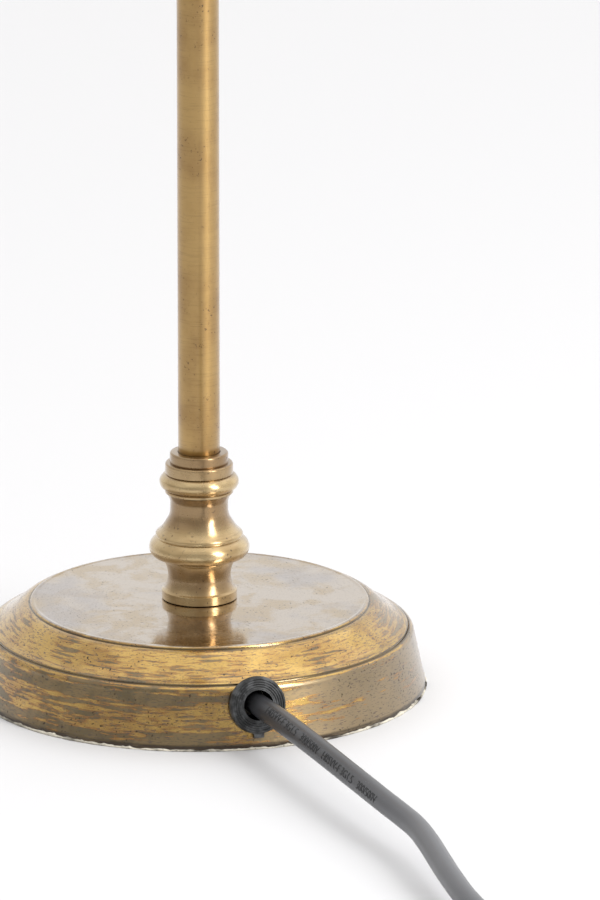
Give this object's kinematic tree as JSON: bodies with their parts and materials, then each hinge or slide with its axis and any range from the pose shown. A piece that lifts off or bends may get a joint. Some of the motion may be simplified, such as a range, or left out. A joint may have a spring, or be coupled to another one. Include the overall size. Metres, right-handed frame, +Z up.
{
  "type": "floor lamp",
  "caption": "Adjustable reading floor lamp: round weighted base, turned neck, telescoping column, swinging arm and half-barrel shade.",
  "frame": {"origin": "centre of the base's underside, on the floor", "axes": "+Z up the column, +X along the arm at rest, the mains cord leaves along -X"},
  "size_m": [1.0761, 0.2308, 1.1943],
  "materials": {
    "aged_brass": "spun brass, polished and tarnished with age",
    "turned_brass": "turned brass, satin with lathe lines",
    "tube_brass": "drawn brass tube, satin lacquered",
    "shade_brass": "spun brass, aged outside",
    "cast_iron": "sand cast, unpainted",
    "steel": "zinc plated",
    "nickel": "nickel plated",
    "felt": "wool felt, matt",
    "rubber": "moulded black rubber, dusty",
    "cord_pvc": "extruded flexible PVC sheath, satin",
    "lead_pvc": "extruded PVC",
    "nylon": "moulded nylon",
    "phenolic": "compression moulded phenolic",
    "ceramic": "glazed porcelain",
    "bulb_glass": "frosted"
  },
  "bodies": {
    "stand": {"felt_pad": "felt", "base_shell": "aged_brass", "ballast_weight": "cast_iron", "cord_grommet": "rubber", "cord_clamp": "nylon", "base_washer": "steel", "base_lock_nut": "steel", "base_nipple": "steel", "base_lead": "lead_pvc", "neck_foot": "turned_brass", "neck_vase": "turned_brass", "neck_ring_lower": "turned_brass", "neck_ring_upper": "turned_brass", "stem_tube": "tube_brass", "stem_foot_bush": "turned_brass", "clamp_collar": "turned_brass", "guide_bush": "nylon", "mains_cord": "cord_pvc", "cord_coil": "cord_pvc", "cord_tie": "nylon", "cord_tail": "cord_pvc", "plug_body": "rubber", "plug_pin_left": "nickel", "plug_pin_right": "nickel"},
    "height_lock": {"clamp_thumbscrew": "turned_brass"},
    "mast": {"mast_tube": "tube_brass", "mast_foot_bush": "nylon", "mast_cap": "turned_brass", "swivel_nut": "steel", "mast_lead": "lead_pvc"},
    "head": {"swivel_body": "turned_brass", "head_clevis": "turned_brass", "head_washer_near": "nylon", "head_washer_far": "nylon", "head_pivot_screw": "steel"},
    "head_lock": {"head_knob": "turned_brass"},
    "arm": {"arm_knuckle": "turned_brass", "arm_tube": "tube_brass", "arm_ferrule_inner": "turned_brass", "arm_ferrule_outer": "turned_brass", "arm_end_clevis": "turned_brass", "shade_washer_near": "nylon", "shade_washer_far": "nylon", "shade_pivot_screw": "steel"},
    "shade_lock": {"shade_knob": "turned_brass"},
    "lamp_carrier": {"shade_knuckle": "turned_brass", "shade_washer_outer": "nylon", "shade_washer_inner": "nylon", "shade_nut": "steel", "lampholder_cap": "turned_brass", "lampholder_shell": "turned_brass", "lampholder_insulator": "ceramic", "lampholder_thread": "nickel", "bulb_cap": "nickel", "bulb_glass": "bulb_glass"},
    "shade": {"shade_shell": "shade_brass", "rotary_switch": "phenolic", "switch_nut": "nickel", "switch_lead": "lead_pvc"},
    "switch_dial": {"switch_knob": "phenolic"}
  },
  "joints": [
    {"name": "height_slide", "type": "slide", "parent": "stand", "child": "mast", "axis": [0, 0, 1], "range_m": [-0.28, 0.14]},
    {"name": "height_screw_turn", "type": "hinge", "parent": "stand", "child": "height_lock", "pos_m": [0, 0.016, 0.769], "axis": [0, 1, 0], "range_deg": [0, 360]},
    {"name": "head_swivel", "type": "hinge", "parent": "mast", "child": "head", "pos_m": [0, 0, 1.113], "axis": [0, 0, 1], "range_deg": [-165, 165]},
    {"name": "arm_tilt", "type": "hinge", "parent": "head", "child": "arm", "pos_m": [0, 0, 1.1446], "axis": [0, 1, 0], "range_deg": [-70, 40]},
    {"name": "head_knob_turn", "type": "hinge", "parent": "head", "child": "head_lock", "pos_m": [0, 0.015, 1.1446], "axis": [0, 1, 0], "range_deg": [0, 360]},
    {"name": "shade_tilt", "type": "hinge", "parent": "arm", "child": "lamp_carrier", "pos_m": [0.2376, 0, 1.1446], "axis": [0, 1, 0], "range_deg": [-60, 60]},
    {"name": "shade_knob_turn", "type": "hinge", "parent": "arm", "child": "shade_lock", "pos_m": [0.2376, 0.015, 1.1446], "axis": [0, 1, 0], "range_deg": [0, 360]},
    {"name": "shade_roll", "type": "hinge", "parent": "lamp_carrier", "child": "shade", "pos_m": [0.3, 0, 1.1446], "axis": [1, 0, 0], "range_deg": [-100, 100]},
    {"name": "switch_turn", "type": "hinge", "parent": "shade", "child": "switch_dial", "pos_m": [0.48, 0, 1.1446], "axis": [1, 0, 0], "continuous": true}
  ]
}
